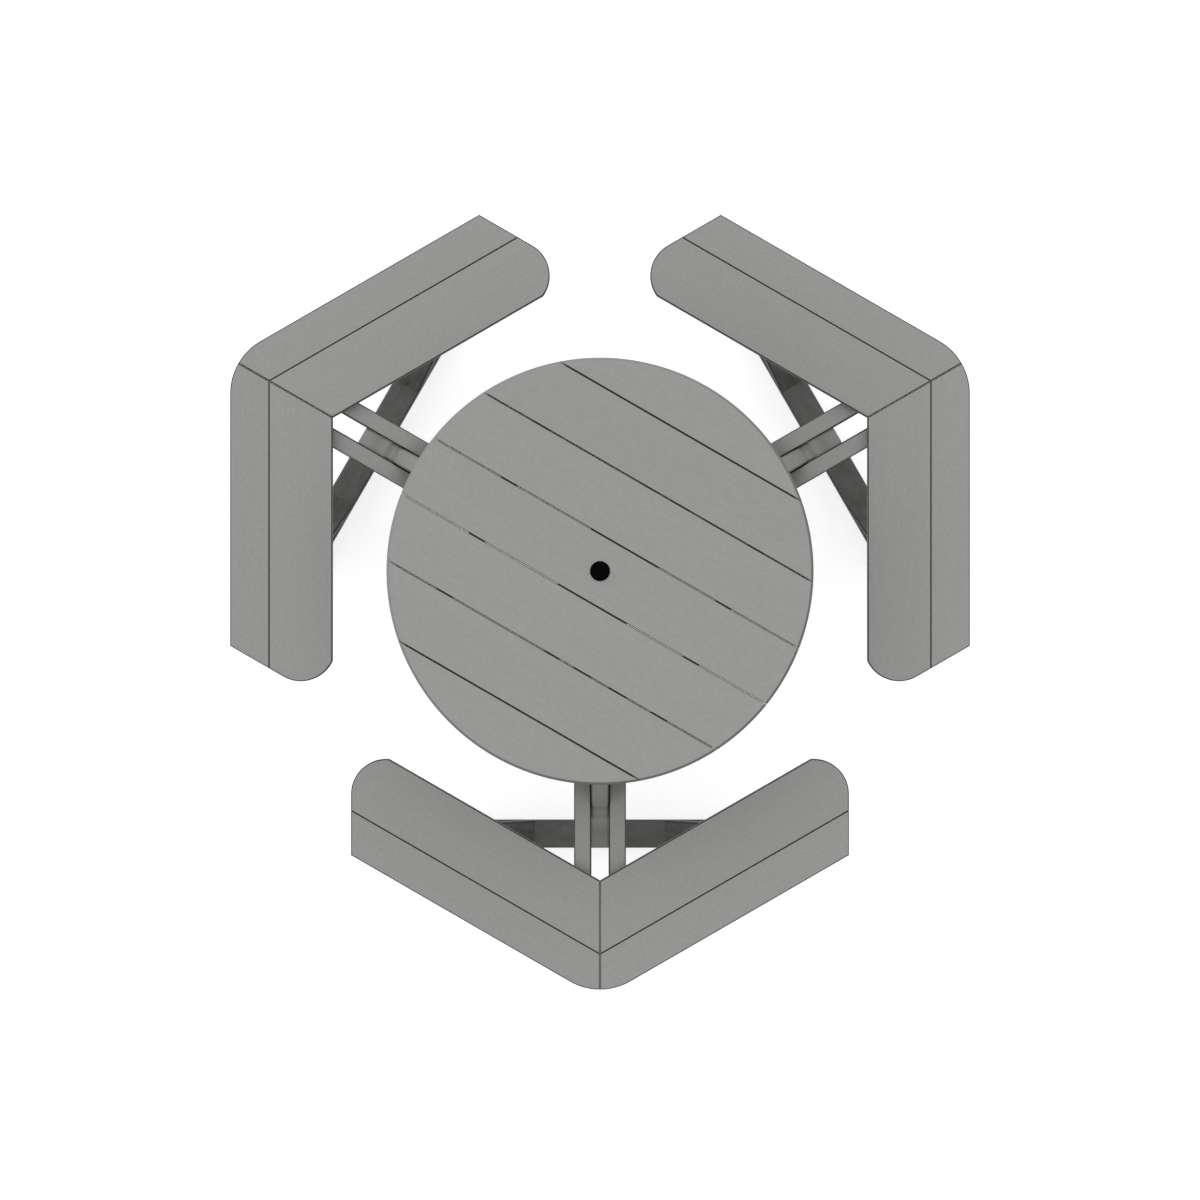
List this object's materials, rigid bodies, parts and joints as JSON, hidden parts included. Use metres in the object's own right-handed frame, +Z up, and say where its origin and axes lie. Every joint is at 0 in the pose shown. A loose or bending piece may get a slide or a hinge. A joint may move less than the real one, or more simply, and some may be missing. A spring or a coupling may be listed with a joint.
{
  "type": "round picnic table",
  "caption": "Round slatted patio table with an umbrella hole, on splayed sandwich frames that carry mitred V-shaped benches.",
  "frame": {"origin": "on the ground, straight below the umbrella hole, where the three frames' centre lines meet", "axes": "+Z up through the umbrella hole; the front frame runs along -Y, the two others at 120 degrees to it; +X to the right"},
  "size_m": [2.1748, 2.2785, 0.752],
  "materials": {
    "grey_lumber": "solid-coloured plastic lumber with a fine brushed grain",
    "black_plug": "moulded black plastic",
    "black_plate": "black powder coat",
    "stainless_steel": "plain stainless"
  },
  "bodies": {
    "table": {"top_plank_1": "grey_lumber", "top_plank_2": "grey_lumber", "top_plank_3": "grey_lumber", "top_plank_4": "grey_lumber", "top_plank_5": "grey_lumber", "top_plank_6": "grey_lumber", "top_plank_7": "grey_lumber", "top_cleat_long": "grey_lumber", "top_cleat_mid_a": "grey_lumber", "top_cleat_mid_b": "grey_lumber", "top_cleat_end_a": "grey_lumber", "top_cleat_end_b": "grey_lumber", "front_top_rail_a": "grey_lumber", "front_top_rail_b": "grey_lumber", "front_seat_beam_a": "grey_lumber", "front_seat_beam_b": "grey_lumber", "front_leg": "grey_lumber", "front_foot": "grey_lumber", "front_brace_a": "grey_lumber", "front_brace_b": "grey_lumber", "front_seat_cleat_a": "grey_lumber", "front_seat_cleat_b": "grey_lumber", "front_inner_board_a": "grey_lumber", "front_inner_board_b": "grey_lumber", "front_outer_board_a": "grey_lumber", "front_outer_board_b": "grey_lumber", "right_top_rail_a": "grey_lumber", "right_top_rail_b": "grey_lumber", "right_seat_beam_a": "grey_lumber", "right_seat_beam_b": "grey_lumber", "right_leg": "grey_lumber", "right_foot": "grey_lumber", "right_brace_a": "grey_lumber", "right_brace_b": "grey_lumber", "right_seat_cleat_a": "grey_lumber", "right_seat_cleat_b": "grey_lumber", "right_inner_board_a": "grey_lumber", "right_inner_board_b": "grey_lumber", "right_outer_board_a": "grey_lumber", "right_outer_board_b": "grey_lumber", "left_top_rail_a": "grey_lumber", "left_top_rail_b": "grey_lumber", "left_seat_beam_a": "grey_lumber", "left_seat_beam_b": "grey_lumber", "left_leg": "grey_lumber", "left_foot": "grey_lumber", "left_brace_a": "grey_lumber", "left_brace_b": "grey_lumber", "left_seat_cleat_a": "grey_lumber", "left_seat_cleat_b": "grey_lumber", "left_inner_board_a": "grey_lumber", "left_inner_board_b": "grey_lumber", "left_outer_board_a": "grey_lumber", "left_outer_board_b": "grey_lumber", "upper_hub_plate": "black_plate", "lower_hub_plate": "black_plate", "frame_bolts": "stainless_steel", "frame_nuts": "stainless_steel", "timber_screws": "stainless_steel"},
    "plug": {"umbrella_plug": "black_plug"}
  },
  "joints": [
    {"name": "plug_pull", "type": "slide", "parent": "table", "child": "plug", "axis": [0, 0, 1], "range_m": [0, 0.04]}
  ]
}
